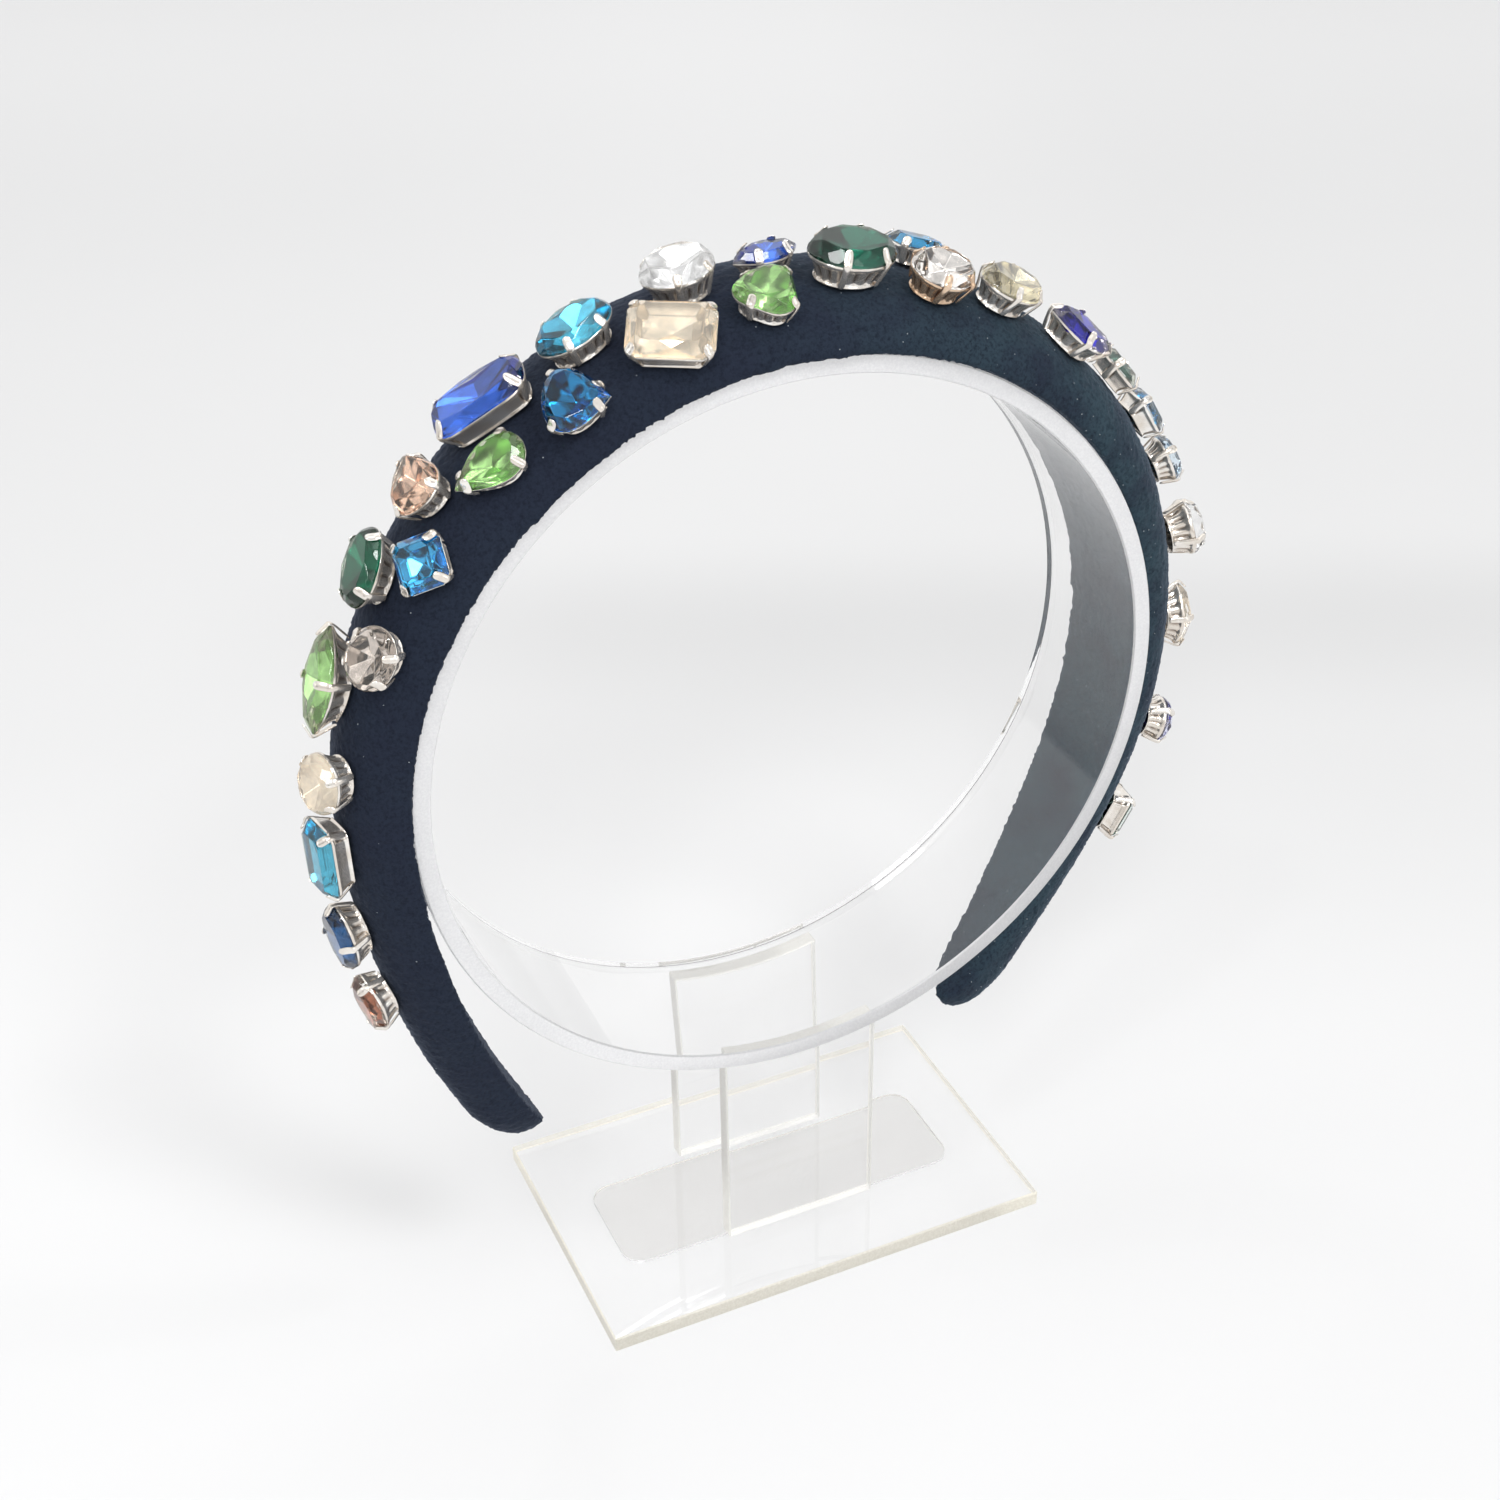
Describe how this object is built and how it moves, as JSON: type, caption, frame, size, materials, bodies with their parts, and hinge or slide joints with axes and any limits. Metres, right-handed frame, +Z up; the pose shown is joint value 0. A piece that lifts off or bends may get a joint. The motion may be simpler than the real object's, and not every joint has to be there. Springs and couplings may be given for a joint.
{
  "type": "jewelled padded diadem headband on a clear ring display stand",
  "caption": "Padded velvet diadem headband set with cut stones in claw settings, resting on the clear ring of a small display stand.",
  "frame": {"origin": "middle of the base plate's underside", "axes": "+X to the right of the picture (the stand's width), +Y to the rear along the ring's axis, +Z up"},
  "size_m": [0.1535, 0.052, 0.181],
  "materials": {
    "clear_sheet": "clear, polished",
    "frosted_pad": "matt, translucent",
    "velvet": "velvet pile",
    "silver_metal": "polished",
    "gem_rose": "faceted, foil-backed",
    "gem_deep_blue": "faceted, foil-backed",
    "gem_aqua": "faceted, foil-backed",
    "gem_champagne": "faceted, foil-backed",
    "gem_light_green": "faceted, foil-backed",
    "gem_clear_crystal": "faceted, foil-backed",
    "gem_emerald": "faceted, foil-backed",
    "gem_bright_blue": "faceted, foil-backed",
    "gem_peach": "faceted, foil-backed",
    "gem_sapphire": "faceted, foil-backed",
    "gem_dark_green": "faceted, foil-backed"
  },
  "bodies": {
    "root": {"stand_base": "clear_sheet", "frosted_pad": "frosted_pad", "upright_front": "clear_sheet", "upright_rear": "clear_sheet", "stand_ring": "clear_sheet", "padded_band": "velvet", "settings_left": "silver_metal", "settings_crown": "silver_metal", "settings_right": "silver_metal", "stone_01": "gem_rose", "stone_02": "gem_deep_blue", "stone_03": "gem_aqua", "stone_04": "gem_champagne", "stone_05": "gem_light_green", "stone_06": "gem_clear_crystal", "stone_07": "gem_emerald", "stone_08": "gem_bright_blue", "stone_09": "gem_peach", "stone_10": "gem_light_green", "stone_11": "gem_sapphire", "stone_12": "gem_deep_blue", "stone_13": "gem_aqua", "stone_14": "gem_champagne", "stone_15": "gem_clear_crystal", "stone_16": "gem_sapphire", "stone_17": "gem_light_green", "stone_18": "gem_emerald", "stone_19": "gem_bright_blue", "stone_20": "gem_clear_crystal", "stone_21": "gem_champagne", "stone_22": "gem_sapphire", "stone_23": "gem_dark_green", "stone_24": "gem_deep_blue", "stone_25": "gem_aqua", "stone_26": "gem_clear_crystal", "stone_27": "gem_champagne", "stone_28": "gem_sapphire", "stone_29": "gem_dark_green"}
  },
  "joints": []
}
